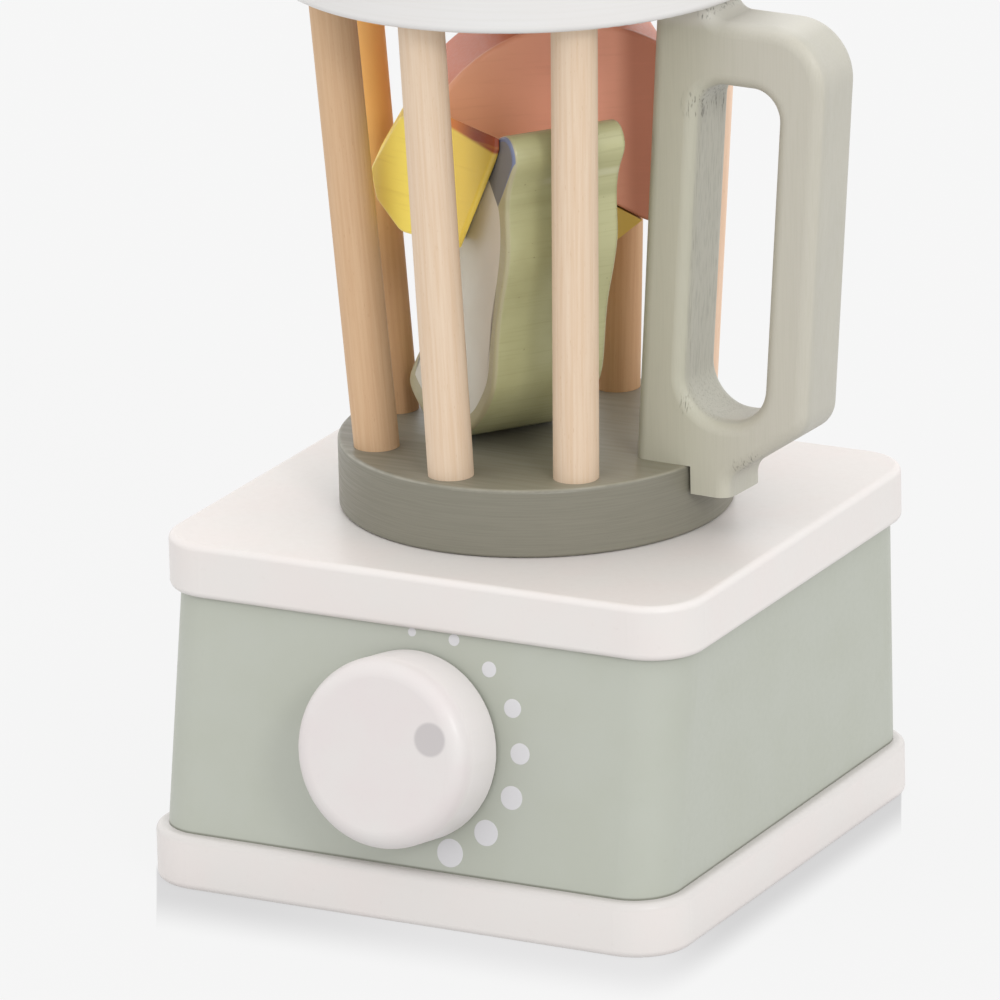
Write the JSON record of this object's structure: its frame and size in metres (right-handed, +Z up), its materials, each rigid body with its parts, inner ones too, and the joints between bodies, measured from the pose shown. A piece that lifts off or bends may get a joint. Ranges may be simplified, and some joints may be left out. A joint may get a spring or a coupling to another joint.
{
  "type": "toy blender",
  "caption": "Wooden toy blender: a base unit with a turning click knob, and a lift-off jug of leaning rods with a looped handle, a lid and loose play food inside.",
  "frame": {"origin": "middle of the base plate's underside", "axes": "+Z up, knob faces -Y, handle points to +X"},
  "size_m": [0.1382, 0.1362, 0.2345],
  "materials": {
    "white_paint": "satin white paint over smooth board",
    "sage_paint": "satin pale sage paint over smooth board",
    "dark_sage_stain": "dark grey-green stain with faint grain",
    "handle_stain": "grey-green satin paint, rougher on end grain",
    "ring_paint": "satin white paint with faint brush lines",
    "rod_wood": "raw sanded beech with fine lengthwise grain",
    "raw_wood": "raw sanded beech",
    "pear_paint": "satin green paint, cream printed face",
    "yellow_paint": "satin yellow paint",
    "melon_paint": "satin coral paint",
    "felt": "thin pressed felt",
    "steel": "zinc-plated steel"
  },
  "bodies": {
    "base": {"base_plate": "white_paint", "front_panel": "sage_paint", "rear_panel": "sage_paint", "left_panel": "sage_paint", "right_panel": "sage_paint", "corner_blocks": "raw_wood", "base_screws": "steel", "top_plate": "white_paint", "top_dowels": "raw_wood", "jug_pegs": "raw_wood", "click_spring": "steel", "spring_block": "raw_wood", "spring_screws": "steel"},
    "knob": {"knob": "white_paint", "knob_axle": "raw_wood", "knob_washer": "felt", "click_wheel": "raw_wood", "axle_washer": "steel", "axle_screw": "steel"},
    "jug": {"jug_base": "dark_sage_stain", "rod_1": "rod_wood", "rod_2": "rod_wood", "rod_3": "rod_wood", "rod_4": "rod_wood", "rod_5": "rod_wood", "rod_6": "rod_wood", "rod_7": "rod_wood", "top_ring": "ring_paint", "handle": "handle_stain", "handle_dowels": "raw_wood"},
    "lid": {"lid_plate": "ring_paint", "lid_plug": "raw_wood", "lid_knob": "handle_stain", "lid_screw": "steel"},
    "food": {"pear_slice": "pear_paint", "yellow_wedge": "yellow_paint", "yellow_tip": "yellow_paint", "melon_half": "melon_paint"}
  },
  "joints": [
    {"name": "knob_turn", "type": "hinge", "parent": "base", "child": "knob", "pos_m": [0.0008, -0.05549, 0.0376], "axis": [0, -0.9848, 0.1736], "continuous": true},
    {"name": "jug_lift", "type": "slide", "parent": "base", "child": "jug", "axis": [0, 0, 1], "range_m": [0, 0.12]},
    {"name": "lid_lift", "type": "slide", "parent": "jug", "child": "lid", "axis": [0, 0, 1], "range_m": [0, 0.08]},
    {"name": "food_lift", "type": "slide", "parent": "jug", "child": "food", "axis": [0, 0, 1], "range_m": [0, 0.004]}
  ]
}
